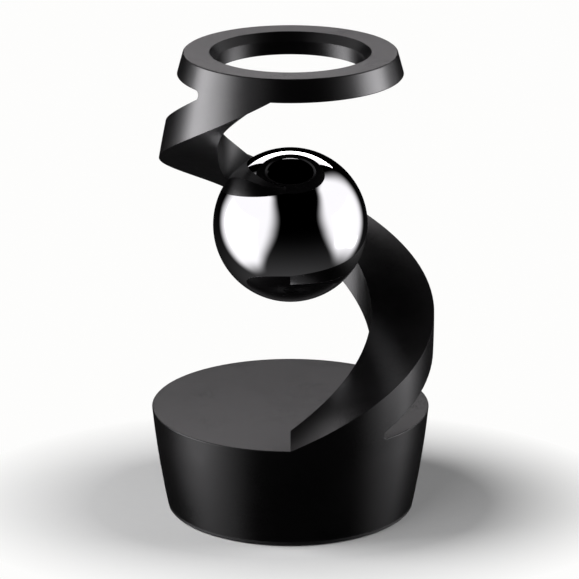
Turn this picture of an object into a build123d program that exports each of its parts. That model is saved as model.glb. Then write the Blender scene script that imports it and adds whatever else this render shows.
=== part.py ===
from build123d import *
from math import cos, radians, sin, sqrt
import os

os.makedirs("parts", exist_ok=True)

# Millimetres. Z is up, the floor is Z = 0 and the Z axis is the axis of the barrel.
# Azimuths are in degrees, seen from above: 0 faces the front (-Y) and 90 the right (+X).

# The barrel that the base, the spiral and the ring are all cut from
HEIGHT = 200.0
BARREL_RADIUS = 61.0
BARREL_WIDEST_Z = 84.6
BARREL_ARC = 417.0

# Base
PLATE_BOTTOM = 0.4
HOUSING_BOTTOM = 2.0
SPIGOT_TOP = 4.0
SPIGOT_RADIUS = 47.8
BASE_TOP = 44.75
BASE_TOP_WALL = 3.75
BASE_WALL = 4.0
RIM_BEVEL = 0.3
PAD_RADIUS = 38.0
PAD_THICKNESS = 1.5
PAD_GAP = 0.2

# Ring
RING_BOTTOM = 190.6
RING_BORE = 31.2
RING_BEVEL_WIDTH = 2.6
RING_BEVEL_DEPTH = 3.6

# Spiral arm: azimuth, height of the under surface, height of the upper surface, inner radius
ARM_STATIONS = [
    (-45, 8.0, 23.6, 33.5),
    (0, 28.6, 44.75, 33.9),
    (45, 49.4, 66.1, 34.3),
    (90, 69.8, 87.4, 34.3),
    (135, 90.3, 108.7, 33.6),
    (180, 111.9, 130.2, 33.8),
    (225, 134.0, 153.3, 33.3),
    (270, 154.6, 170.8, 30.4),
    (315, 174.7, 190.8, 34.3),
    (360, 195.2, 211.4, 35.6),
    (405, 215.9, 232.2, 35.6),
]
ARM_SPACING = 45
ARM_STEP = 10
SLOT_END_AZIMUTH = 43.0
SLOT_END_RADIUS = 1.9
SLOT_END_Z = BASE_TOP + SLOT_END_RADIUS - 0.05
NOTCH_END_AZIMUTH = 305.0
NOTCH_END_RADIUS = 2.2
NOTCH_END_Z = RING_BOTTOM - NOTCH_END_RADIUS + 0.05

# Floating ball
BALL_RADIUS = 32.6
BALL_Z = 124.8
SHELL = 1.2
SHELL_LIP = 2.5
CARRIER_TOP = BALL_Z - 13.7
MAGNET_BOTTOM = BALL_Z - 22.0
MAGNET_RADIUS = 17.5
MAGNET_HEIGHT = 8.0
GLUE_GAP = 0.3
RETAINER_RADIUS = 23.0
RETAINER_BORE = 9.0
RETAINER_THICKNESS = 1.5
RETAINER_SCREW_CIRCLE = 20.3
RETAINER_SCREW_RADIUS = 0.9

# Lifting unit inside the base
UNIT_TOP = 40.5
YOKE_TOP = 28.5
YOKE_THICKNESS = 2.5
YOKE_RADIUS = 47.2
FIELD_MAGNET_INNER = 26.5
FIELD_MAGNET_OUTER = 39.5
COIL_CIRCLE = 15.0
COIL_RADIUS = 9.8
COIL_TUBE = 4.3
CORE_RADIUS = 3.0
FLANGE_THICKNESS = 1.0
COIL_NAMES = ["front_right", "back_right", "back_left", "front_left"]
SENSOR_POST_RADIUS = 2.2
SENSOR_POST_HEIGHT = 7.0
SENSOR_BOARD_RADIUS = 4.6
SENSOR_BOARD_THICKNESS = 1.0

# Posts that carry the unit, bosses that take the plate's screws, and the screws
POST_CIRCLE = 43.5
POST_AZIMUTH = 22.5
POST_RADIUS = 3.1
BOSS_CIRCLE = 43.0
BOSS_AZIMUTH = 67.5
BOSS_RADIUS = 3.5
BOSS_NOTCH = 4.2
SCREW_RADIUS = 1.25
SCREW_HOLE = 1.3
PLATE_SCREW_SEAT = 2.3
PLATE_SCREW_LENGTH = 10.5
PLATE_SCREW_HEAD = 2.8
HEAD_HEIGHT = 1.4
HEAD_RECESS = 3.2
DRIVE_WIDTH = 3.4
DRIVE_SLOT = 0.6
DRIVE_DEPTH = 0.8

# Control board and power inlet
BOARD_BOTTOM = 7.0
BOARD_TOP = 8.6
BOARD_RADIUS = 46.5
INLET_Z = 16.5
INLET_RADIUS = 5.0
INLET_FACE = 54.5
INLET_FLANGE = 7.0
INLET_FLANGE_THICKNESS = 1.6
INLET_LENGTH = 17.0
INLET_BORE = 3.2
INLET_BORE_DEPTH = 11.0
INLET_PIN_RADIUS = 1.0

UPRIGHT = (Align.CENTER, Align.CENTER, Align.MIN)
# Looks out of the back of the base, with its Y pointing up
INLET_PLANE = Plane(origin=(0, INLET_FACE, INLET_Z), x_dir=(-1, 0, 0), z_dir=(0, 1, 0))


def barrel_radius(z):
    return BARREL_RADIUS - BARREL_ARC + sqrt(BARREL_ARC**2 - (z - BARREL_WIDEST_Z) ** 2)


def station_value(azimuth, column):
    """A smooth curve through the arm's stations, read at one azimuth."""
    low = 1 + max(0, int(azimuth // ARM_SPACING))
    before, start, end, after = (station[column] for station in ARM_STATIONS[low - 1 : low + 3])
    t = azimuth / ARM_SPACING - (low - 1)
    return (
        start * (2 * t**3 - 3 * t**2 + 1)
        + (end - before) / 2 * (t**3 - 2 * t**2 + t)
        + end * (3 * t**2 - 2 * t**3)
        + (after - start) / 2 * (t**3 - t**2)
    )


def radial_plane(azimuth):
    """The upright plane through the axis, with its X pointing outward at the azimuth."""
    a = radians(azimuth)
    return Plane(origin=(0, 0, 0), x_dir=(sin(a), -cos(a), 0), z_dir=(-cos(a), -sin(a), 0))


def barrel_profile(inner, low, high, inset=0.0):
    """Half section between a straight inner wall and the barrel's curve."""
    middle = (low + high) / 2
    with BuildSketch(Plane.XZ) as profile:
        with BuildLine():
            Polyline(
                (barrel_radius(low) - inset, low),
                (inner, low),
                (inner, high),
                (barrel_radius(high) - inset, high),
            )
            ThreePointArc(
                (barrel_radius(low) - inset, low),
                (barrel_radius(middle) - inset, middle),
                (barrel_radius(high) - inset, high),
            )
        make_face()
    return profile.sketch


def rounded_end(azimuth, centre_z, radius, toward, inner):
    """Fills the thin end of a gap beside the arm, and leaves it with a round end."""
    radial = radial_plane(azimuth)
    with BuildPart() as filling:
        with BuildSketch(Plane(origin=(0, 0, 0), x_dir=-radial.z_dir, z_dir=radial.x_dir)):
            with Locations((toward * 6.0, centre_z)):
                Rectangle(12.0, 2 * radius + 2.4)
            with Locations((0.0, centre_z)):
                Circle(radius, mode=Mode.SUBTRACT)
        extrude(amount=70.0)
        revolve(
            barrel_profile(inner, centre_z - 8.0, centre_z + 8.0),
            axis=Axis.Z,
            mode=Mode.INTERSECT,
        )
    return filling.part


# ---------------------------------------------------------------- spiral frame
# The arm: a radial bar swept up and round, trimmed to the barrel
with BuildPart() as arm:
    for azimuth in range(-10, 351, ARM_STEP):
        lower = station_value(azimuth, 1)
        upper = station_value(azimuth, 2)
        inner = station_value(azimuth, 3)
        with BuildSketch(radial_plane(azimuth)):
            Polygon((inner, lower), (75, lower), (75, upper), (inner, upper), align=None)
    loft()
    revolve(
        barrel_profile(20.0, BASE_TOP - 2.0, RING_BOTTOM + 4.0),
        axis=Axis.Z,
        mode=Mode.INTERSECT,
    )

# The ring at the top, with its wide bevel round the hole
with BuildPart() as ring:
    revolve(barrel_profile(RING_BORE, RING_BOTTOM, HEIGHT), axis=Axis.Z)
    top_rims = ring.edges().filter_by(GeomType.CIRCLE).group_by(Axis.Z)[-1]
    bottom_rims = ring.edges().filter_by(GeomType.CIRCLE).group_by(Axis.Z)[0]
    chamfer(top_rims.sort_by(SortBy.RADIUS)[-1], RIM_BEVEL)
    chamfer(bottom_rims.sort_by(SortBy.RADIUS)[-1], RIM_BEVEL)
    with BuildSketch(Plane.XZ):
        Polygon(
            (0, HEIGHT),
            (0, HEIGHT - RING_BEVEL_DEPTH),
            (RING_BORE, HEIGHT - RING_BEVEL_DEPTH),
            (RING_BORE + RING_BEVEL_WIDTH, HEIGHT),
            align=None,
        )
    revolve(axis=Axis.Z, mode=Mode.SUBTRACT)

with BuildPart() as spiral_frame:
    revolve(barrel_profile(0.0, HOUSING_BOTTOM, BASE_TOP), axis=Axis.Z)
    chamfer(spiral_frame.edges().filter_by(GeomType.CIRCLE).sort_by(Axis.Z)[-1], RIM_BEVEL)
    add(ring.part)
    add(arm.part)
    add(rounded_end(SLOT_END_AZIMUTH, SLOT_END_Z, SLOT_END_RADIUS, -1, 34.4))
    add(rounded_end(NOTCH_END_AZIMUTH, NOTCH_END_Z, NOTCH_END_RADIUS, 1, 34.9))
    # Hollow for the lifting unit, with its posts and the bosses for the plate's screws
    revolve(
        barrel_profile(0.0, HOUSING_BOTTOM, BASE_TOP - BASE_TOP_WALL, inset=BASE_WALL),
        axis=Axis.Z,
        mode=Mode.SUBTRACT,
    )
    ceiling = Plane.XY.offset(BASE_TOP - BASE_TOP_WALL + 0.5)
    with BuildSketch(ceiling):
        with PolarLocations(POST_CIRCLE, 4, start_angle=POST_AZIMUTH):
            Circle(POST_RADIUS)
    extrude(amount=YOKE_TOP - ceiling.origin.Z)
    with BuildSketch(ceiling):
        with PolarLocations(BOSS_CIRCLE, 4, start_angle=BOSS_AZIMUTH):
            Circle(BOSS_RADIUS)
    extrude(amount=SPIGOT_TOP - ceiling.origin.Z)
    with BuildSketch(Plane.XY.offset(YOKE_TOP)):
        with PolarLocations(POST_CIRCLE, 4, start_angle=POST_AZIMUTH):
            Circle(SCREW_HOLE)
    extrude(amount=8.0, mode=Mode.SUBTRACT)
    with BuildSketch(Plane.XY.offset(SPIGOT_TOP)):
        with PolarLocations(BOSS_CIRCLE, 4, start_angle=BOSS_AZIMUTH):
            Circle(SCREW_HOLE)
    extrude(amount=10.0, mode=Mode.SUBTRACT)
    # Hole and flat seat for the power inlet, at the back
    with BuildSketch(INLET_PLANE):
        Circle(INLET_FLANGE + 0.4)
    extrude(amount=10.0, mode=Mode.SUBTRACT)
    with BuildSketch(INLET_PLANE):
        Circle(INLET_RADIUS + 0.1)
    extrude(amount=-12.0, mode=Mode.SUBTRACT)
spiral_frame.part.label = "spiral_frame"

# ---------------------------------------------------------------- underside
with BuildPart() as base_plate:
    revolve(barrel_profile(0.0, PLATE_BOTTOM, HOUSING_BOTTOM), axis=Axis.Z)
    chamfer(base_plate.edges().filter_by(GeomType.CIRCLE).sort_by(Axis.Z)[0], 0.4)
    with BuildSketch(Plane.XY.offset(HOUSING_BOTTOM)):
        Circle(SPIGOT_RADIUS)
    extrude(amount=SPIGOT_TOP - HOUSING_BOTTOM)
    with BuildSketch(Plane.XY.offset(PLATE_BOTTOM)):
        Circle(PAD_RADIUS + PAD_GAP)
    extrude(amount=PAD_THICKNESS - PLATE_BOTTOM, mode=Mode.SUBTRACT)
    with BuildSketch(Plane.XY.offset(PLATE_BOTTOM)):
        with PolarLocations(BOSS_CIRCLE, 4, start_angle=BOSS_AZIMUTH):
            Circle(HEAD_RECESS)
    extrude(amount=PLATE_SCREW_SEAT - PLATE_BOTTOM, mode=Mode.SUBTRACT)
    with BuildSketch(Plane.XY.offset(PLATE_BOTTOM)):
        with PolarLocations(BOSS_CIRCLE, 4, start_angle=BOSS_AZIMUTH):
            Circle(SCREW_HOLE + 0.3)
    extrude(amount=SPIGOT_TOP, mode=Mode.SUBTRACT)
base_plate.part.label = "base_plate"

with BuildPart() as foot_pad:
    with BuildSketch():
        Circle(PAD_RADIUS)
    extrude(amount=PAD_THICKNESS)
    chamfer(foot_pad.edges().sort_by(Axis.Z)[0], 0.3)
foot_pad.part.label = "foot_pad"

with BuildPart() as plate_screws:
    with PolarLocations(BOSS_CIRCLE, 4, start_angle=BOSS_AZIMUTH):
        with Locations((0, 0, PLATE_SCREW_SEAT - HEAD_HEIGHT)):
            Cylinder(PLATE_SCREW_HEAD, HEAD_HEIGHT, align=UPRIGHT)
        with Locations((0, 0, PLATE_SCREW_SEAT)):
            Cylinder(SCREW_RADIUS, PLATE_SCREW_LENGTH, align=UPRIGHT)
    with PolarLocations(BOSS_CIRCLE, 4, start_angle=BOSS_AZIMUTH):
        with Locations((0, 0, PLATE_SCREW_SEAT - HEAD_HEIGHT)):
            Box(DRIVE_WIDTH, DRIVE_SLOT, DRIVE_DEPTH, align=UPRIGHT, mode=Mode.SUBTRACT)
            Box(DRIVE_SLOT, DRIVE_WIDTH, DRIVE_DEPTH, align=UPRIGHT, mode=Mode.SUBTRACT)
plate_screws.part.label = "plate_screws"

# ---------------------------------------------------------------- lifting unit
with BuildPart() as yoke_plate:
    with BuildSketch(Plane.XY.offset(YOKE_TOP - YOKE_THICKNESS)):
        Circle(YOKE_RADIUS)
        with PolarLocations(BOSS_CIRCLE, 4, start_angle=BOSS_AZIMUTH):
            Circle(BOSS_NOTCH, mode=Mode.SUBTRACT)
        with PolarLocations(BOSS_CIRCLE + BOSS_NOTCH, 4, start_angle=BOSS_AZIMUTH):
            Rectangle(2 * BOSS_NOTCH, 2 * BOSS_NOTCH, mode=Mode.SUBTRACT)
        with PolarLocations(POST_CIRCLE, 4, start_angle=POST_AZIMUTH):
            Circle(1.6, mode=Mode.SUBTRACT)
    extrude(amount=YOKE_THICKNESS)
yoke_plate.part.label = "yoke_plate"

with BuildPart() as field_magnet:
    with BuildSketch(Plane.XY.offset(YOKE_TOP)):
        Circle(FIELD_MAGNET_OUTER)
        Circle(FIELD_MAGNET_INNER, mode=Mode.SUBTRACT)
    extrude(amount=UNIT_TOP - YOKE_TOP)
    chamfer(field_magnet.edges().filter_by(GeomType.CIRCLE), 0.6)
field_magnet.part.label = "field_magnet"

bobbins = []
windings = []
cores = []
for number, name in enumerate(COIL_NAMES):
    a = radians(45 + 90 * number)
    centre = (COIL_CIRCLE * sin(a), -COIL_CIRCLE * cos(a))
    with BuildPart() as bobbin:
        with BuildSketch(Plane.XY.offset(YOKE_TOP)):
            with Locations(centre):
                Circle(COIL_TUBE)
                Circle(CORE_RADIUS + 0.1, mode=Mode.SUBTRACT)
        extrude(amount=UNIT_TOP - YOKE_TOP)
        with BuildSketch(Plane.XY.offset(YOKE_TOP), Plane.XY.offset(UNIT_TOP - FLANGE_THICKNESS)):
            with Locations(centre):
                Circle(COIL_RADIUS)
                Circle(CORE_RADIUS + 0.1, mode=Mode.SUBTRACT)
        extrude(amount=FLANGE_THICKNESS)
    bobbin.part.label = f"{name}_bobbin"
    bobbins.append(bobbin.part)
    with BuildPart() as winding:
        with BuildSketch(Plane.XY.offset(YOKE_TOP + FLANGE_THICKNESS + 0.1)):
            with Locations(centre):
                Circle(COIL_RADIUS - 0.5)
                Circle(COIL_TUBE + 0.05, mode=Mode.SUBTRACT)
        extrude(amount=UNIT_TOP - YOKE_TOP - 2 * FLANGE_THICKNESS - 0.2)
        fillet(winding.edges().filter_by(GeomType.CIRCLE).sort_by(SortBy.RADIUS)[-2:], 0.5)
    winding.part.label = f"{name}_winding"
    windings.append(winding.part)
    with BuildPart() as core:
        with BuildSketch(Plane.XY.offset(YOKE_TOP)):
            with Locations(centre):
                Circle(CORE_RADIUS)
        extrude(amount=UNIT_TOP - YOKE_TOP - 0.3)
    core.part.label = f"{name}_core"
    cores.append(core.part)

with BuildPart() as sensor_post:
    with BuildSketch(Plane.XY.offset(YOKE_TOP)):
        Circle(SENSOR_POST_RADIUS)
    extrude(amount=SENSOR_POST_HEIGHT)
sensor_post.part.label = "sensor_post"

with BuildPart() as sensor_board:
    with BuildSketch(Plane.XY.offset(YOKE_TOP + SENSOR_POST_HEIGHT)):
        Circle(SENSOR_BOARD_RADIUS)
    extrude(amount=SENSOR_BOARD_THICKNESS)
sensor_board.part.label = "sensor_board"

sensor_seat = Plane.XY.offset(YOKE_TOP + SENSOR_POST_HEIGHT + SENSOR_BOARD_THICKNESS)
sensors = []
for name, x, y, turn in [("x", 2.3, 0.0, 0), ("y", 0.0, 2.3, 90), ("z", -1.6, -1.6, 45)]:
    with BuildPart() as sensor:
        with BuildSketch(sensor_seat):
            with Locations(Location((x, y), turn)):
                Rectangle(1.2, 2.6)
        extrude(amount=1.4)
        chamfer(sensor.edges().group_by(Axis.Z)[-1], 0.2)
    sensor.part.label = f"hall_sensor_{name}"
    sensors.append(sensor.part)

# ---------------------------------------------------------------- control board
with BuildPart() as control_board:
    with BuildSketch(Plane.XY.offset(BOARD_BOTTOM)):
        Circle(BOARD_RADIUS)
        with PolarLocations(BOSS_CIRCLE, 4, start_angle=BOSS_AZIMUTH):
            Circle(BOSS_NOTCH, mode=Mode.SUBTRACT)
        with PolarLocations(BOSS_CIRCLE + BOSS_NOTCH, 4, start_angle=BOSS_AZIMUTH):
            Rectangle(2 * BOSS_NOTCH, 2 * BOSS_NOTCH, mode=Mode.SUBTRACT)
        with PolarLocations(POST_CIRCLE, 4, start_angle=POST_AZIMUTH):
            Circle(1.4, mode=Mode.SUBTRACT)
    extrude(amount=BOARD_TOP - BOARD_BOTTOM)
control_board.part.label = "control_board"

with BuildPart() as board_standoffs:
    with BuildSketch(Plane.XY.offset(BOARD_TOP)):
        with PolarLocations(POST_CIRCLE, 4, start_angle=POST_AZIMUTH):
            RegularPolygon(2.8, 6)
    extrude(amount=YOKE_TOP - YOKE_THICKNESS - BOARD_TOP)
    with BuildSketch(Plane.XY.offset(YOKE_TOP - YOKE_THICKNESS)):
        with PolarLocations(POST_CIRCLE, 4, start_angle=POST_AZIMUTH):
            Circle(SCREW_RADIUS)
    extrude(amount=8.5)
    with BuildSketch(Plane.XY.offset(BOARD_TOP)):
        with PolarLocations(POST_CIRCLE, 4, start_angle=POST_AZIMUTH):
            Circle(SCREW_HOLE)
    extrude(amount=6.0, mode=Mode.SUBTRACT)
board_standoffs.part.label = "board_standoffs"

with BuildPart() as board_screws:
    with PolarLocations(POST_CIRCLE, 4, start_angle=POST_AZIMUTH):
        with Locations((0, 0, BOARD_BOTTOM - 1.6)):
            Cylinder(2.3, 1.6, align=UPRIGHT)
        with Locations((0, 0, BOARD_BOTTOM)):
            Cylinder(SCREW_RADIUS, 6.5, align=UPRIGHT)
board_screws.part.label = "board_screws"

# Parts soldered to the board: name, x, y, size across X, size across Y, height
BLOCKS = [
    ("processor_chip", -4.0, -6.0, 9.0, 9.0, 1.6),
    ("coil_driver_front", 10.0, -22.0, 10.0, 6.0, 1.8),
    ("coil_driver_back", 10.0, 8.0, 10.0, 6.0, 1.8),
    ("inductor", -24.0, 10.0, 12.0, 12.0, 7.0),
    ("voltage_regulator", -20.0, -18.0, 6.5, 6.0, 2.3),
]
blocks = []
for name, x, y, size_x, size_y, height in BLOCKS:
    with BuildPart() as block:
        with Locations((x, y, BOARD_TOP)):
            Box(size_x, size_y, height, align=UPRIGHT)
        chamfer(block.edges().group_by(Axis.Z)[-1], 0.35)
    block.part.label = name
    blocks.append(block.part)

capacitors = []
for name, x, y in [("left_capacitor", -14.0, 26.0), ("right_capacitor", 14.0, 26.0)]:
    with BuildPart() as capacitor:
        with Locations((x, y, BOARD_TOP)):
            Cylinder(4.0, 11.0, align=UPRIGHT)
        fillet(capacitor.edges().filter_by(GeomType.CIRCLE), 0.5)
    capacitor.part.label = name
    capacitors.append(capacitor.part)

# ---------------------------------------------------------------- power inlet
with BuildPart() as power_inlet:
    with BuildSketch(INLET_PLANE):
        Circle(INLET_FLANGE)
    extrude(amount=INLET_FLANGE_THICKNESS)
    chamfer(power_inlet.edges().sort_by(Axis.Y)[-1], 0.5)
    with BuildSketch(INLET_PLANE):
        Circle(INLET_RADIUS)
    extrude(amount=-INLET_LENGTH)
    with BuildSketch(INLET_PLANE.offset(INLET_FLANGE_THICKNESS)):
        Circle(INLET_BORE)
    extrude(amount=-INLET_BORE_DEPTH, mode=Mode.SUBTRACT)
power_inlet.part.label = "power_inlet"

with BuildPart() as inlet_pin:
    with BuildSketch(INLET_PLANE.offset(INLET_FLANGE_THICKNESS - INLET_BORE_DEPTH)):
        Circle(INLET_PIN_RADIUS)
    extrude(amount=9.0)
    fillet(inlet_pin.edges().sort_by(Axis.Y)[-1], 0.5)
inlet_pin.part.label = "inlet_pin"

with BuildPart() as inlet_nut:
    with BuildSketch(INLET_PLANE.offset(-4.6)):
        RegularPolygon(7.6, 6)
        Circle(INLET_RADIUS + 0.05, mode=Mode.SUBTRACT)
    extrude(amount=-2.2)
inlet_nut.part.label = "inlet_nut"

# ---------------------------------------------------------------- floating ball
with BuildPart() as ball_shell_upper:
    with Locations((0, 0, BALL_Z)):
        Sphere(BALL_RADIUS)
        Sphere(BALL_RADIUS - SHELL, mode=Mode.SUBTRACT)
    split(bisect_by=Plane.XY.offset(BALL_Z), keep=Keep.TOP)
    with BuildSketch(Plane.XY.offset(BALL_Z)):
        Circle(BALL_RADIUS - SHELL / 2)
    extrude(amount=SHELL_LIP, mode=Mode.SUBTRACT)
ball_shell_upper.part.label = "ball_shell_upper"

with BuildPart() as ball_shell_lower:
    with Locations((0, 0, BALL_Z)):
        Sphere(BALL_RADIUS)
        Sphere(BALL_RADIUS - SHELL, mode=Mode.SUBTRACT)
    split(bisect_by=Plane.XY.offset(BALL_Z), keep=Keep.BOTTOM)
    with BuildSketch(Plane.XY.offset(BALL_Z - 4.0)):
        Circle(BALL_RADIUS - SHELL / 2 - 0.05)
        Circle(BALL_RADIUS - SHELL - 0.6, mode=Mode.SUBTRACT)
    extrude(amount=4.0 + SHELL_LIP - 0.1)
ball_shell_lower.part.label = "ball_shell_lower"

with BuildPart() as magnet_carrier:
    with Locations((0, 0, BALL_Z)):
        Sphere(BALL_RADIUS - SHELL - 0.1)
    split(bisect_by=Plane.XY.offset(CARRIER_TOP), keep=Keep.BOTTOM)
    with BuildSketch(Plane.XY.offset(MAGNET_BOTTOM - GLUE_GAP)):
        Circle(MAGNET_RADIUS + GLUE_GAP)
    extrude(amount=20.0, mode=Mode.SUBTRACT)
    with BuildSketch(Plane.XY.offset(CARRIER_TOP)):
        with PolarLocations(RETAINER_SCREW_CIRCLE, 3, start_angle=90):
            Circle(RETAINER_SCREW_RADIUS + 0.05)
    extrude(amount=-7.0, mode=Mode.SUBTRACT)
magnet_carrier.part.label = "magnet_carrier"

with BuildPart() as float_magnet:
    with BuildSketch(Plane.XY.offset(MAGNET_BOTTOM)):
        Circle(MAGNET_RADIUS)
    extrude(amount=MAGNET_HEIGHT)
    chamfer(float_magnet.edges().filter_by(GeomType.CIRCLE), 0.5)
float_magnet.part.label = "float_magnet"

with BuildPart() as magnet_retainer:
    with BuildSketch(Plane.XY.offset(CARRIER_TOP)):
        Circle(RETAINER_RADIUS)
        Circle(RETAINER_BORE, mode=Mode.SUBTRACT)
        with PolarLocations(RETAINER_SCREW_CIRCLE, 3, start_angle=90):
            Circle(RETAINER_SCREW_RADIUS + 0.2, mode=Mode.SUBTRACT)
    extrude(amount=RETAINER_THICKNESS)
magnet_retainer.part.label = "magnet_retainer"

with BuildPart() as retainer_screws:
    with PolarLocations(RETAINER_SCREW_CIRCLE, 3, start_angle=90):
        with Locations((0, 0, CARRIER_TOP + RETAINER_THICKNESS)):
            Cylinder(1.9, 1.3, align=UPRIGHT)
        with Locations((0, 0, CARRIER_TOP - 6.0)):
            Cylinder(RETAINER_SCREW_RADIUS, 6.0 + RETAINER_THICKNESS, align=UPRIGHT)
retainer_screws.part.label = "retainer_screws"

# ---------------------------------------------------------------- output
single_pieces = [
    spiral_frame,
    base_plate,
    foot_pad,
    plate_screws,
    yoke_plate,
    field_magnet,
    sensor_post,
    sensor_board,
    control_board,
    board_standoffs,
    board_screws,
    power_inlet,
    inlet_pin,
    inlet_nut,
    ball_shell_upper,
    ball_shell_lower,
    magnet_carrier,
    float_magnet,
    magnet_retainer,
    retainer_screws,
]
pieces = [builder.part for builder in single_pieces]
for piece in pieces + bobbins + windings + cores + sensors + blocks + capacitors:
    export_step(piece, f"parts/{piece.label}.step")
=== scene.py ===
import math
from functools import reduce

import bmesh
import bpy
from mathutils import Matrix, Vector


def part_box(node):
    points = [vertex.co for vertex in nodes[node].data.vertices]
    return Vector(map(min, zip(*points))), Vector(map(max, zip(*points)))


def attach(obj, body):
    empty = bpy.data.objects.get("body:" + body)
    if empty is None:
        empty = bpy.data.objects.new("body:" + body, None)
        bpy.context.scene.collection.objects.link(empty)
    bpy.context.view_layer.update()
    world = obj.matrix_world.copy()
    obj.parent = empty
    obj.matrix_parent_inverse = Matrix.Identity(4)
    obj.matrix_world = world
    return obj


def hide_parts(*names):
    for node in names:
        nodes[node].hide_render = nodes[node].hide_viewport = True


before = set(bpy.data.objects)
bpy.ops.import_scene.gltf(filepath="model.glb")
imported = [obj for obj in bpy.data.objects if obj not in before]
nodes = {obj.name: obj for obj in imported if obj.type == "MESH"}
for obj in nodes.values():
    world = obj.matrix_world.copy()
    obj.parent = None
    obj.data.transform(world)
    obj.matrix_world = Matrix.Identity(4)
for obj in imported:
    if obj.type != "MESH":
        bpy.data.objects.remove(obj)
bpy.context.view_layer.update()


# ---------------------------------------------------------------- node helpers

def add(tree, kind, links=None, **settings):
    """Adds a shader node, sets its properties, and links or sets its inputs."""
    node = tree.nodes.new(kind)
    for key, value in settings.items():
        setattr(node, key, value)
    for key, value in (links or {}).items():
        if isinstance(value, bpy.types.NodeSocket):
            tree.links.new(value, node.inputs[key])
        else:
            node.inputs[key].default_value = value
    return node


def new_tree(name):
    """A new material with its Principled shader, and object coordinates in metres."""
    material = bpy.data.materials.new(name)
    material.use_nodes = True
    tree = material.node_tree
    shader = tree.nodes["Principled BSDF"]
    place = add(tree, "ShaderNodeTexCoord").outputs["Object"]
    return material, tree, shader, place


def noise(tree, place, scale, detail=2.0, roughness=0.5, distortion=0.0):
    links = {
        "Vector": place,
        "Scale": scale,
        "Detail": detail,
        "Roughness": roughness,
        "Distortion": distortion,
    }
    return add(tree, "ShaderNodeTexNoise", links).outputs["Fac"]


def spread(tree, value, low, high, to_low, to_high):
    """Maps a value from one range to another, and clamps it."""
    links = {"Value": value, "From Min": low, "From Max": high, "To Min": to_low, "To Max": to_high}
    return add(tree, "ShaderNodeMapRange", links, clamp=True).outputs["Result"]


def ease(tree, value, low, high):
    """Like spread to the range 0 to 1, with a smooth start and end."""
    links = {"Value": value, "From Min": low, "From Max": high, "To Min": 0.0, "To Max": 1.0}
    return add(tree, "ShaderNodeMapRange", links, interpolation_type="SMOOTHSTEP").outputs["Result"]


def mix(tree, factor, first, second):
    """A colour mix. Its factor and its two colours are inputs 0, 6 and 7 of the node."""
    return add(tree, "ShaderNodeMix", {0: factor, 6: first, 7: second}, data_type="RGBA").outputs[2]


def math_node(tree, operation, *values):
    return add(tree, "ShaderNodeMath", dict(enumerate(values)), operation=operation).outputs[0]


def vector_math(tree, operation, *values):
    """Its result is a number for DOT_PRODUCT and LENGTH, and otherwise a vector."""
    node = add(tree, "ShaderNodeVectorMath", dict(enumerate(values)), operation=operation)
    return node.outputs["Value" if operation in ("DOT_PRODUCT", "LENGTH") else "Vector"]


def stretch(tree, place, scale):
    """The place with its X, Y and Z scaled, which squeezes a texture along the larger ones."""
    return add(tree, "ShaderNodeMapping", {"Vector": place, "Scale": scale}).outputs["Vector"]


def split(tree, vector):
    """The X, Y and Z of a vector."""
    parts = add(tree, "ShaderNodeSeparateXYZ", {"Vector": vector}).outputs
    return parts["X"], parts["Y"], parts["Z"]


def cells(tree, place, scale, feature="F1"):
    """How far each place is from the middle of its cell."""
    links = {"Vector": place, "Scale": scale}
    return add(tree, "ShaderNodeTexVoronoi", links, feature=feature).outputs["Distance"]


def bump(tree, height, distance, strength=1.0, normal=None):
    links = {"Height": height, "Distance": distance, "Strength": strength}
    if normal is not None:
        links["Normal"] = normal
    return add(tree, "ShaderNodeBump", links).outputs["Normal"]


def rounded_normal(tree, radius):
    """The surface's direction as if its edges were rounded to the radius."""
    return add(tree, "ShaderNodeBevel", {"Radius": radius}, samples=4).outputs["Normal"]


def edge_mask(tree, radius):
    """1 on edges and 0 on open faces, from how far a rounded normal leaves the true one. Edge wear goes
    through it, and on the satin black also a painted edge highlight.
    """
    rounded = rounded_normal(tree, radius)
    true = add(tree, "ShaderNodeNewGeometry").outputs["Normal"]
    return spread(tree, vector_math(tree, "DOT_PRODUCT", rounded, true), 0.995, 0.80, 0.0, 1.0)


def seen_by(tree, bounces):
    """1 where the light meets up to this many shiny surfaces on its way, and 0 where it meets more."""
    depth = add(tree, "ShaderNodeLightPath").outputs["Glossy Depth"]
    return spread(tree, depth, bounces + 0.4, bounces + 0.6, 1.0, 0.0)


def rgba(colour):
    return (colour[0], colour[1], colour[2], 1.0)


# ------------------------------------------------------------------- materials

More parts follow.
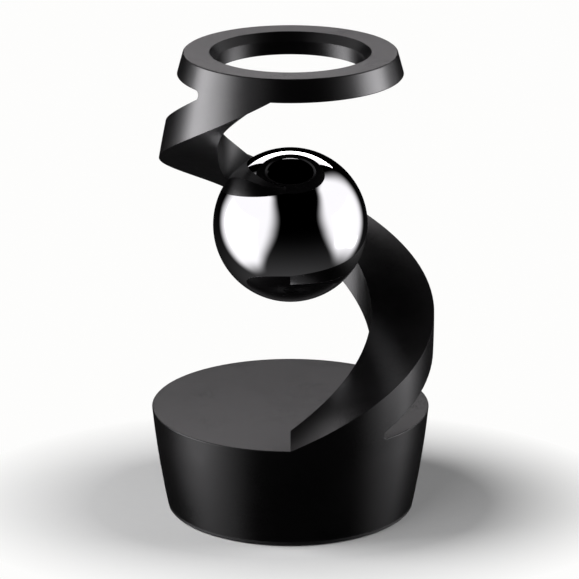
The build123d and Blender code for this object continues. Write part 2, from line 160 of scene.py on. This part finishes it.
def satin_black():
    """Bead-blasted, black-anodised metal: a fine even grain, slight clouding, and edges a shade paler,
    partly from wear and partly as a painted highlight.
    """
    material, tree, shader, place = new_tree("satin_black_anodised")
    cloud = noise(tree, place, 34.0, 3.0)
    grain = noise(tree, place, 5200.0, 2.0, 0.6)
    pits = noise(tree, place, 1700.0, 2.0, 0.55)
    clouded = spread(tree, cloud, 0.35, 0.65, 0.0, 1.0)
    colour = mix(tree, clouded, rgba((0.0008, 0.0007, 0.0008)), rgba((0.0014, 0.0012, 0.0014)))
    speck = spread(tree, grain, 0.60, 0.80, 0.0, 0.5)
    colour = mix(tree, speck, colour, rgba((0.004, 0.0037, 0.004)))
    # Edges painted paler: partly edge wear, partly a painted highlight along the edges
    edge_wear_and_highlight = math_node(tree, "MULTIPLY", edge_mask(tree, 0.0005), spread(tree, pits, 0.35, 0.7, 0.25, 0.9))
    colour = mix(tree, edge_wear_and_highlight, colour, rgba((0.008, 0.0075, 0.008)))
    tree.links.new(colour, shader.inputs["Base Color"])
    rough = spread(tree, cloud, 0.3, 0.7, 0.27, 0.31)
    rough = math_node(tree, "ADD", rough, spread(tree, grain, 0.3, 0.7, -0.02, 0.02))
    tree.links.new(rough, shader.inputs["Roughness"])
    fine = bump(tree, grain, 0.000012, 0.7, rounded_normal(tree, 0.0003))
    tree.links.new(bump(tree, pits, 0.00002, 0.5, fine), shader.inputs["Normal"])
    shader.inputs["IOR"].default_value = 1.5
    shader.inputs["Specular IOR Level"].default_value = 0.20
    return material


def mirror_steel():
    """Polished steel: a clear mirror with the faintest buffing haze, and true sphere normals outside."""
    material, tree, shader, place = new_tree("mirror_polished_steel")
    low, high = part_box("ball_shell_lower")[0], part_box("ball_shell_upper")[1]
    centre = (Vector(low) + Vector(high)) / 2
    radius = (high[2] - low[2]) / 2
    outward = vector_math(tree, "SUBTRACT", place, centre)
    distance = vector_math(tree, "LENGTH", outward)
    outside = spread(tree, distance, radius - 0.0003, radius - 0.0001, 0.0, 1.0)
    way = vector_math(tree, "NORMALIZE", outward)
    to_world = {"vector_type": "NORMAL", "convert_from": "OBJECT", "convert_to": "WORLD"}
    way = add(tree, "ShaderNodeVectorTransform", {"Vector": way}, **to_world).outputs["Vector"]
    sphere = mix(tree, outside, add(tree, "ShaderNodeNewGeometry").outputs["Normal"], way)
    lines = noise(tree, stretch(tree, place, (1.0, 1.0, 16.0)), 900.0, 3.0, 0.6)
    haze = noise(tree, place, 60.0, 3.0)
    colour = mix(tree, haze, rgba((0.83, 0.83, 0.845)), rgba((0.87, 0.87, 0.875)))
    tree.links.new(colour, shader.inputs["Base Color"])
    tree.links.new(spread(tree, haze, 0.35, 0.7, 0.018, 0.034), shader.inputs["Roughness"])
    tree.links.new(bump(tree, lines, 0.0000004, 0.35, sphere), shader.inputs["Normal"])
    shader.inputs["Metallic"].default_value = 1.0
    return material


def moulded(name, dark, pale, rough, texture=1400.0, depth=0.00003, specular=0.5):
    """Moulded plastic with a spark-eroded texture and slightly polished edges."""
    material, tree, shader, place = new_tree(name)
    dimples = cells(tree, place, texture, "SMOOTH_F1")
    cloud = noise(tree, place, 55.0, 3.0)
    fine = noise(tree, place, texture * 2.6, 2.0)
    colour = mix(tree, spread(tree, cloud, 0.3, 0.7, 0.0, 1.0), rgba(dark), rgba(pale))
    rubbed = tuple(min(1.0, channel * 1.5 + 0.004) for channel in pale)
    colour = mix(tree, math_node(tree, "MULTIPLY", edge_mask(tree, 0.0004), 0.6), colour, rgba(rubbed))
    tree.links.new(colour, shader.inputs["Base Color"])
    tree.links.new(spread(tree, fine, 0.3, 0.7, rough - 0.06, rough + 0.06), shader.inputs["Roughness"])
    height = math_node(tree, "ADD", dimples, math_node(tree, "MULTIPLY", fine, 0.4))
    tree.links.new(bump(tree, height, depth, 0.6), shader.inputs["Normal"])
    shader.inputs["Specular IOR Level"].default_value = specular
    return material


def plated(name, dark, pale, rough, brush=(1.0, 1.0, 1.0)):
    """Plated or machined metal: tool lines along one direction, spots of tarnish, and brighter edges."""
    material, tree, shader, place = new_tree(name)
    lines = noise(tree, stretch(tree, place, brush), 1500.0, 4.0, 0.65)
    stain = noise(tree, place, 120.0, 4.0, 0.6, 0.3)
    colour = mix(tree, spread(tree, stain, 0.35, 0.65, 0.0, 1.0), rgba(dark), rgba(pale))
    bright = tuple(min(1.0, channel * 1.2) for channel in pale)
    colour = mix(tree, math_node(tree, "MULTIPLY", edge_mask(tree, 0.00035), 0.7), colour, rgba(bright))
    tree.links.new(colour, shader.inputs["Base Color"])
    rough_lines = spread(tree, lines, 0.3, 0.7, rough - 0.07, rough + 0.07)
    tree.links.new(rough_lines, shader.inputs["Roughness"])
    tree.links.new(bump(tree, lines, 0.000008, 0.6), shader.inputs["Normal"])
    shader.inputs["Metallic"].default_value = 1.0
    return material


def foam_rubber():
    """Closed-cell foam rubber with open pores on its cut face."""
    material, tree, shader, place = new_tree("foam_rubber")
    # The pores give the bump its height, and in the colour they are painted darker: painted shade inside the
    # hollows
    pores = spread(tree, cells(tree, place, 1500.0), 0.12, 0.42, 0.0, 1.0)
    dust = noise(tree, place, 90.0, 4.0, 0.65)
    colour = mix(tree, pores, rgba((0.006, 0.006, 0.006)), rgba((0.026, 0.026, 0.027)))
    colour = mix(tree, spread(tree, dust, 0.55, 0.8, 0.0, 0.35), colour, rgba((0.085, 0.083, 0.08)))
    tree.links.new(colour, shader.inputs["Base Color"])
    tree.links.new(spread(tree, dust, 0.3, 0.7, 0.82, 0.95), shader.inputs["Roughness"])
    tree.links.new(bump(tree, pores, 0.00012, 0.8), shader.inputs["Normal"])
    shader.inputs["Specular IOR Level"].default_value = 0.25
    return material


def circuit_board(name):
    """Green solder mask over etched tracks, with the weave of the glass cloth just showing."""
    material, tree, shader, place = new_tree(name)
    layout = {"Scale": 230.0, "Mortar Size": 0.035, "Brick Width": 1.7, "Row Height": 0.42}
    shades = {"Color1": rgba((0, 0, 0)), "Color2": rgba((0.25, 0.25, 0.25)), "Mortar": rgba((1, 1, 1))}
    track = add(tree, "ShaderNodeTexBrick", {"Vector": place, **layout, **shades}).outputs["Color"]
    threads = {"Vector": place, "Scale": 420.0, "Distortion": 0.4}
    weave_x = add(tree, "ShaderNodeTexWave", threads, bands_direction="X").outputs["Fac"]
    weave_y = add(tree, "ShaderNodeTexWave", threads, bands_direction="Y").outputs["Fac"]
    cloth = math_node(tree, "MULTIPLY", weave_x, weave_y)
    cloud = noise(tree, place, 70.0, 3.0)
    colour = mix(tree, cloud, rgba((0.008, 0.085, 0.030)), rgba((0.014, 0.12, 0.045)))
    colour = mix(tree, spread(tree, track, 0.3, 0.9, 0.0, 1.0), colour, rgba((0.03, 0.23, 0.085)))
    tree.links.new(colour, shader.inputs["Base Color"])
    tree.links.new(spread(tree, cloud, 0.3, 0.7, 0.26, 0.40), shader.inputs["Roughness"])
    height = math_node(tree, "ADD", track, math_node(tree, "MULTIPLY", cloth, 0.12))
    tree.links.new(bump(tree, height, 0.00003, 0.7), shader.inputs["Normal"])
    shader.inputs["Coat Weight"].default_value = 0.5
    shader.inputs["Coat Roughness"].default_value = 0.18
    return material


def sintered(name, dark, pale, rough):
    """Ground ferrite or moulded chip: dull grain with small glints."""
    material, tree, shader, place = new_tree(name)
    grain = noise(tree, place, 2600.0, 4.0, 0.7)
    cloud = noise(tree, place, 80.0, 3.0)
    glint = cells(tree, place, 2100.0)
    colour = mix(tree, spread(tree, grain, 0.3, 0.7, 0.0, 1.0), rgba(dark), rgba(pale))
    bright = tuple(min(1.0, channel * 2.2) for channel in pale)
    colour = mix(tree, spread(tree, glint, 0.10, 0.0, 0.0, 0.6), colour, rgba(bright))
    tree.links.new(colour, shader.inputs["Base Color"])
    tree.links.new(spread(tree, cloud, 0.3, 0.7, rough - 0.08, rough + 0.08), shader.inputs["Roughness"])
    tree.links.new(bump(tree, grain, 0.00003, 0.7), shader.inputs["Normal"])
    return material


def enamelled_copper():
    """Enamelled winding wire: amber lacquer over copper, its tone varying a little from place to place."""
    material, tree, shader, place = new_tree("enamelled_copper")
    tint = noise(tree, place, 260.0, 3.0)
    fine = noise(tree, place, 3000.0, 2.0)
    tint = spread(tree, tint, 0.3, 0.7, 0.0, 1.0)
    colour = mix(tree, tint, rgba((0.40, 0.115, 0.030)), rgba((0.64, 0.23, 0.075)))
    tree.links.new(colour, shader.inputs["Base Color"])
    tree.links.new(spread(tree, fine, 0.3, 0.7, 0.20, 0.34), shader.inputs["Roughness"])
    tree.links.new(bump(tree, fine, 0.000006, 0.5), shader.inputs["Normal"])
    shader.inputs["Metallic"].default_value = 0.85
    shader.inputs["Coat Weight"].default_value = 0.6
    shader.inputs["Coat Roughness"].default_value = 0.12
    return material


def capacitor_can():
    """An aluminium can in a dark sleeve, with the plain pale stripe that marks its negative side."""
    material, tree, shader, place = new_tree("capacitor_sleeve")
    _, y, z = split(tree, place)
    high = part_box("left_capacitor")[1]
    sleeve_top = spread(tree, z, high[2] - 0.0006, high[2] - 0.0003, 1.0, 0.0)
    stripe = spread(tree, y, high[1] - 0.0022, high[1] - 0.0018, 0.0, 1.0)
    fine = noise(tree, place, 1900.0, 3.0)
    sleeve = mix(tree, stripe, rgba((0.012, 0.014, 0.022)), rgba((0.46, 0.46, 0.45)))
    colour = mix(tree, sleeve_top, rgba((0.62, 0.62, 0.64)), sleeve)
    tree.links.new(colour, shader.inputs["Base Color"])
    tree.links.new(spread(tree, sleeve_top, 0.0, 1.0, 1.0, 0.0), shader.inputs["Metallic"])
    tree.links.new(spread(tree, fine, 0.3, 0.7, 0.28, 0.42), shader.inputs["Roughness"])
    tree.links.new(bump(tree, fine, 0.00001, 0.5), shader.inputs["Normal"])
    return material


# How tool lines are squeezed along X, Y and Z
ALONG_X, ALONG_Y, ALONG_Z = (14.0, 1.0, 1.0), (1.0, 9.0, 1.0), (1.0, 1.0, 9.0)

materials = {
    "body": satin_black(),
    "mirror": mirror_steel(),
    "plate": moulded("moulded_base_plate", (0.0035, 0.0035, 0.0038), (0.0060, 0.0060, 0.0064), 0.50,
                     texture=1500.0, depth=0.00005, specular=0.3),
    "foam": foam_rubber(),
    "black_zinc": plated("black_zinc_screw", (0.060, 0.060, 0.064), (0.11, 0.11, 0.115), 0.36, ALONG_Z),
    "zinc": plated("zinc_plated_steel", (0.58, 0.58, 0.59), (0.66, 0.67, 0.70), 0.33, ALONG_X),
    "ferrite": sintered("ferrite", (0.030, 0.028, 0.029), (0.062, 0.058, 0.060), 0.62),
    "nylon": moulded("nylon", (0.70, 0.69, 0.63), (0.80, 0.79, 0.74), 0.45, 900.0, 0.00002),
    "board": circuit_board("circuit_board"),
    "brass": plated("turned_brass", (0.58, 0.40, 0.16), (0.78, 0.60, 0.29), 0.26, ALONG_Z),
    "inlet": moulded("moulded_inlet", (0.014, 0.014, 0.015), (0.022, 0.022, 0.023), 0.38, 2400.0, 0.00002),
    "contact": plated("nickel_contact", (0.60, 0.58, 0.54), (0.76, 0.74, 0.70), 0.22, ALONG_Y),
    "magnet": plated("nickel_plated_magnet", (0.62, 0.60, 0.57), (0.78, 0.76, 0.73), 0.17),
    "bobbin": moulded("bobbin_plastic", (0.030, 0.030, 0.034), (0.045, 0.045, 0.050), 0.42, 2000.0, 0.00002),
    "copper": enamelled_copper(),
    "can": capacitor_can(),
    "chip": sintered("chip_epoxy", (0.010, 0.010, 0.011), (0.020, 0.020, 0.021), 0.58),
}

COILS = ["front_right", "back_right", "back_left", "front_left"]
finish_of = {
    "spiral_frame": "body",
    "ball_shell_upper": "mirror",
    "ball_shell_lower": "mirror",
    "base_plate": "plate",
    "foot_pad": "foam",
    "plate_screws": "black_zinc",
    "board_screws": "black_zinc",
    "retainer_screws": "black_zinc",
    "yoke_plate": "zinc",
    "field_magnet": "ferrite",
    "sensor_post": "nylon",
    "sensor_board": "board",
    "control_board": "board",
    "board_standoffs": "brass",
    "power_inlet": "inlet",
    "inlet_pin": "contact",
    "inlet_nut": "contact",
    "float_magnet": "magnet",
    "magnet_carrier": "nylon",
    "magnet_retainer": "zinc",
    "left_capacitor": "can",
    "right_capacitor": "can",
    "inductor": "ferrite",
}
# The processor, the coil drivers, the regulator and the field sensors aren't listed: they are chips.
for coil in COILS:
    finish_of[coil + "_bobbin"] = "bobbin"
    finish_of[coil + "_winding"] = "copper"
    finish_of[coil + "_core"] = "zinc"
for name, obj in nodes.items():
    obj.data.materials.clear()
    obj.data.materials.append(materials[finish_of.get(name, "chip")])


# ------------------------------------------------------------- modelled pieces

TURNS = 16
STEPS_AROUND = 56
WIRE_POINTS = 7
WIRE_FLATTENED = 0.98
WINDING_INNER_RADIUS = 0.0047
END_CLEARANCE = 0.0001


def wire_profile(low_z, high_z, outer):
    """The winding's cross-section: a half circle for each turn of wire, closed along its inner wall."""
    pitch = (high_z - low_z) / TURNS
    wire = pitch / 2
    profile = []
    for turn in range(TURNS):
        middle = low_z + pitch * (turn + 0.5)
        for step in range(WIRE_POINTS):
            angle = math.radians(-90 + 180 / (WIRE_POINTS - 1) * step)
            radius = outer - wire + wire * math.cos(angle)
            profile.append((radius, middle + wire * WIRE_FLATTENED * math.sin(angle)))
    profile.append((WINDING_INNER_RADIUS, high_z - END_CLEARANCE))
    profile.append((WINDING_INNER_RADIUS, low_z + END_CLEARANCE))
    return profile


def wound_coil(coil):
    """The winding as layers of round wire, turn on turn, in the space that its CAD solid fills."""
    low, high = (Vector(corner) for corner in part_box(coil + "_winding"))
    centre = (low + high) / 2
    pitch = (high.z - low.z) / TURNS
    profile = wire_profile(low.z, high.z, (high.x - low.x) / 2)
    mesh = bpy.data.meshes.new(coil + "_wire")
    bm = bmesh.new()
    rings = []
    for step in range(STEPS_AROUND):
        angle = 2 * math.pi * step / STEPS_AROUND
        ring = []
        for index, (radius, height) in enumerate(profile):
            climb = pitch * step / STEPS_AROUND if index < TURNS * WIRE_POINTS else 0.0
            height = min(max(height + climb - pitch / 2, low.z), high.z)
            across, along = radius * math.cos(angle), radius * math.sin(angle)
            ring.append(bm.verts.new((centre.x + across, centre.y + along, height)))
        rings.append(ring)
    for step in range(STEPS_AROUND):
        first, second = rings[step], rings[(step + 1) % STEPS_AROUND]
        for index in range(len(profile)):
            other = (index + 1) % len(profile)
            bm.faces.new((first[index], second[index], second[other], first[other]))
    bm.normal_update()
    bmesh.ops.recalc_face_normals(bm, faces=bm.faces)
    bm.to_mesh(mesh)
    bm.free()
    for face in mesh.polygons:
        face.use_smooth = True
    piece = bpy.data.objects.new(coil + "_wire", mesh)
    bpy.context.scene.collection.objects.link(piece)
    mesh.materials.append(materials["copper"])
    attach(piece, "base")
    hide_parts(coil + "_winding")


for coil in COILS:
    wound_coil(coil)


# -------------------------------------------------------- camera and the studio

# Solved from the photo: the camera looks along +Y and down.
CAMERA_PLACE = (-0.00038, -1.611, 0.6201)
CAMERA_DOWN = 18.02
CAMERA_LENS = 248.8

camera = bpy.data.objects.new("camera", bpy.data.cameras.new("camera"))
bpy.context.scene.collection.objects.link(camera)
camera.location = CAMERA_PLACE
camera.rotation_euler = (math.radians(90.0 - CAMERA_DOWN), 0.0, 0.0)
camera.data.sensor_width = 36.0
camera.data.lens = CAMERA_LENS
camera.data.clip_start = 0.05
camera.data.clip_end = 20.0
bpy.context.scene.camera = camera
bpy.context.scene.view_settings.view_transform = "Standard"


def emitter(name, colour, strength):
    """A plain emitting material for the studio, and the tree to add to."""
    material = bpy.data.materials.new(name)
    material.use_nodes = True
    tree = material.node_tree
    tree.nodes.clear()
    glow = add(tree, "ShaderNodeEmission", {"Color": rgba(colour), "Strength": strength})
    out = add(tree, "ShaderNodeOutputMaterial")
    tree.links.new(glow.outputs["Emission"], out.inputs["Surface"])
    return material, tree, glow, out


def stage_mesh(name, bm, material, camera_sees=False, gloss_sees=False, diffuse_sees=False):
    """Stages a mesh that only the named kinds of ray can meet."""
    mesh = bpy.data.meshes.new(name)
    bm.to_mesh(mesh)
    bm.free()
    for face in mesh.polygons:
        face.use_smooth = True
    obj = bpy.data.objects.new(name, mesh)
    bpy.context.scene.collection.objects.link(obj)
    mesh.materials.append(material)
    obj.visible_camera = camera_sees
    obj.visible_glossy = gloss_sees
    obj.visible_diffuse = diffuse_sees
    obj.visible_transmission = False
    obj.visible_volume_scatter = False
    obj.visible_shadow = diffuse_sees


SOFTBOX_DISTANCE = 0.95
SOFTBOX_AIM = Vector((0.0, 0.0, 0.06))


def softbox(name, azimuth, elevation, width, height, radiance):
    """A rectangular area light that faces the object. Azimuth 0 is the front and 90 the right."""
    light = bpy.data.lights.new(name, "AREA")
    light.shape = "RECTANGLE"
    light.size = width
    light.size_y = height
    light.energy = radiance * width * height * math.pi
    obj = bpy.data.objects.new(name, light)
    bpy.context.scene.collection.objects.link(obj)
    turn, rise = math.radians(azimuth), math.radians(elevation)
    away = Vector((math.sin(turn) * math.cos(rise), -math.cos(turn) * math.cos(rise), math.sin(rise)))
    obj.location = SOFTBOX_AIM + away * SOFTBOX_DISTANCE
    obj.rotation_euler = away.to_track_quat("Z", "Y").to_euler()
    obj.visible_camera = False
    obj.visible_glossy = False


# These light the floor and its shadows. The world below is what the polished and satin metal mirrors.
softbox("left_key", azimuth=-84.0, elevation=38.0, width=0.55, height=0.45, radiance=11.2)
softbox("right_fill", azimuth=90.0, elevation=25.0, width=0.50, height=0.40, radiance=9.0)
softbox("front_fill", azimuth=-35.0, elevation=45.0, width=0.60, height=0.50, radiance=3.0)


WING_WHITE = 1.17
WING_TOP = (0.87, 0.77)
FAR_EDGE = (-12.0, 12.0)
PATCH_TOP = (0.32, 0.13)
LOW_PATCH_START = (94.0, 110.0)
LOW_PATCH_END = (4.0, 14.0)
LOW_PATCH_FOOT = (-0.45, -0.37)
LOW_PATCH_TOP = (-0.27, -0.34)
FLOOR_GLOW = 0.052


def studio_world():
    """A dark room with a tall white wing on each side, brightest beside the object and near the horizon.

    Azimuths run in degrees from the front, either way round to the back, and heights are the Z of the
    direction. Each wing starts with a soft edge that leans away from the front above and below, and
    ends with another one towards the back. Each pair of limits says where a light is nil and where full.
    """
    world = bpy.data.worlds.new("dark_room")
    bpy.context.scene.world = world
    world.use_nodes = True
    tree = world.node_tree
    x, y, z = split(tree, add(tree, "ShaderNodeTexCoord").outputs["Generated"])

    def times(first, second):
        return math_node(tree, "MULTIPLY", first, second)

    def plus(first, second):
        return math_node(tree, "ADD", first, second)

    def minus(first, second):
        return math_node(tree, "SUBTRACT", first, second)

    def past(value, limit, sign):
        """How far the value is above the limit (sign 1) or below it (sign -1), and 0 otherwise."""
        return math_node(tree, "MAXIMUM", times(minus(value, limit), sign), 0.0)

    def curve(value, first, second, third=0.0):
        """The value's cubic, with no constant term."""
        return times(value, plus(first, times(value, plus(second, times(value, third)))))

    def band(*edges):
        """1 where each value is past its own two limits, fading to 0 short of any of them."""
        return reduce(times, [ease(tree, value, *limits) for value, limits in edges])

    azimuth = math_node(tree, "ARCTAN2", math_node(tree, "ABSOLUTE", x), times(y, -1.0))
    azimuth = math_node(tree, "DEGREES", azimuth)
    above, below = past(z, 0.0, 1.0), past(z, 0.0, -1.0)

    def wing(
        side, start, lean, far_edge, foot, patch_start, patch_end, patch_foot, patch_glow, low_glow, bounces
    ):
        """One white wing, far brighter in a soft patch near the horizon and in a small one lower down.

        The patches are left out after more than so many bounces, or they would streak the arm by way
        of the ball.
        """
        to_end = minus(far_edge, azimuth)
        shape = band((minus(azimuth, lean), start), (to_end, FAR_EDGE), (z, foot), (z, WING_TOP))
        patch = band((azimuth, patch_start), (to_end, patch_end), (z, patch_foot), (z, PATCH_TOP))
        low_patch = band(
            (azimuth, LOW_PATCH_START), (to_end, LOW_PATCH_END), (z, LOW_PATCH_FOOT), (z, LOW_PATCH_TOP)
        )
        extra = times(plus(times(patch, patch_glow), times(low_patch, low_glow)), seen_by(tree, bounces))
        return times(times(shape, plus(WING_WHITE, extra)), side)

    is_right = spread(tree, x, -0.001, 0.001, 0.0, 1.0)
    left = wing(
        side=minus(1.0, is_right),
        start=(16.5, 40.5),
        lean=plus(curve(below, 13.75, 31.25), curve(above, -10.4, 0.0, 41.7)),
        far_edge=minus(126.0, curve(below, 17.5, 37.5)),
        foot=(-0.87, -0.60),
        patch_start=(48.0, 80.0),
        patch_end=(8.0, 26.0),
        patch_foot=(-0.60, 0.05),
        patch_glow=22.0,
        low_glow=0.0,
        bounces=2,
    )
    right_drawn_in = plus(curve(past(z, 0.2, -1.0), 6.0, 32.0), curve(past(z, 0.3, 1.0), 15.0, 55.0))
    right = wing(
        side=is_right,
        start=(43.5, 66.0),
        lean=plus(curve(below, 13.5, 45.0), curve(above, -15.0, 0.0, 70.0)),
        far_edge=minus(137.5, right_drawn_in),
        foot=(-0.73, -0.36),
        patch_start=(66.0, 88.0),
        patch_end=(14.0, 38.0),
        patch_foot=(-0.45, 0.05),
        patch_glow=20.0,
        low_glow=4.0,
        bounces=1,
    )
    # The pale floor in front, which darkens away from the object
    near = spread(tree, z, 0.30, -0.95, 0.0, 1.0)
    floor_glow = times(math_node(tree, "POWER", near, 3.0), FLOOR_GLOW)
    background = tree.nodes["Background"]
    background.inputs["Color"].default_value = (0.99, 0.975, 1.0, 1.0)
    tree.links.new(plus(plus(left, right), floor_glow), background.inputs["Strength"])
    world.cycles_visibility.diffuse = False
    world.cycles_visibility.camera = False


studio_world()

CARD_Y = 1.5
CARD_OUTLINE = [(-0.78, 0.755), (0.0, 0.747), (0.866, 0.867), (0.866, 1.780), (-0.78, 1.780)]
CARD_COLOUR = (1.0, 0.965, 0.99)
CARD_WHITE = 1.2
CARD_LOW_GLOW = 3.6


def white_card():
    """A card behind the object, above the camera's view of it, that lights the tops of ring and base."""
    bm = bmesh.new()
    bm.faces.new([bm.verts.new((x, CARD_Y, z)) for x, z in CARD_OUTLINE])
    material, tree, glow, _ = emitter("card_white", CARD_COLOUR, CARD_WHITE)
    x, _, z = split(tree, add(tree, "ShaderNodeTexCoord").outputs["Object"])
    low_glow = spread(tree, z, 0.90, 1.30, CARD_LOW_GLOW, 0.0)
    low_glow = math_node(tree, "MULTIPLY", low_glow, seen_by(tree, 1))
    low_glow = math_node(tree, "MULTIPLY", low_glow, ease(tree, x, -0.76, -0.36))
    tree.links.new(math_node(tree, "ADD", low_glow, CARD_WHITE), glow.inputs["Strength"])
    stage_mesh("card", bm, material, gloss_sees=True)


white_card()

PAPER_COLOUR = (1.0, 0.998, 0.990)
PAPER_WHITE = 0.985


def backdrop():
    """A pale surround that the camera alone sees, so the object mirrors the dark room and the card."""
    bm = bmesh.new()
    bmesh.ops.create_icosphere(bm, subdivisions=4, radius=6.0)
    material = emitter("backdrop_white", PAPER_COLOUR, PAPER_WHITE)[0]
    stage_mesh("backdrop", bm, material, camera_sees=True)


backdrop()

FLOOR_RADIUS = 1.6
FLOOR_OVAL = (1.0, 1.28, 1.0)
FLOOR_FADE = (0.085, 0.150)


def pale_floor():
    """A floor that takes the shadows near the object and fades into the backdrop further out."""
    bm = bmesh.new()
    bmesh.ops.create_circle(bm, cap_ends=True, segments=96, radius=FLOOR_RADIUS)
    material, tree, glow, out = emitter("floor_white", PAPER_COLOUR, PAPER_WHITE)
    place = add(tree, "ShaderNodeTexCoord").outputs["Object"]
    distance = vector_math(tree, "LENGTH", stretch(tree, place, FLOOR_OVAL))
    fade = spread(tree, distance, *FLOOR_FADE, 0.0, 1.0)
    paper = mix(tree, noise(tree, place, 220.0, 3.0), rgba((0.60, 0.60, 0.605)), rgba((0.62, 0.62, 0.62)))
    matt = add(tree, "ShaderNodeBsdfDiffuse", {"Color": paper}).outputs["BSDF"]
    both = add(tree, "ShaderNodeMixShader", {"Fac": fade, 1: matt, 2: glow.outputs["Emission"]})
    tree.links.new(both.outputs["Shader"], out.inputs["Surface"])
    stage_mesh("floor", bm, material, camera_sees=True, diffuse_sees=True)


pale_floor()
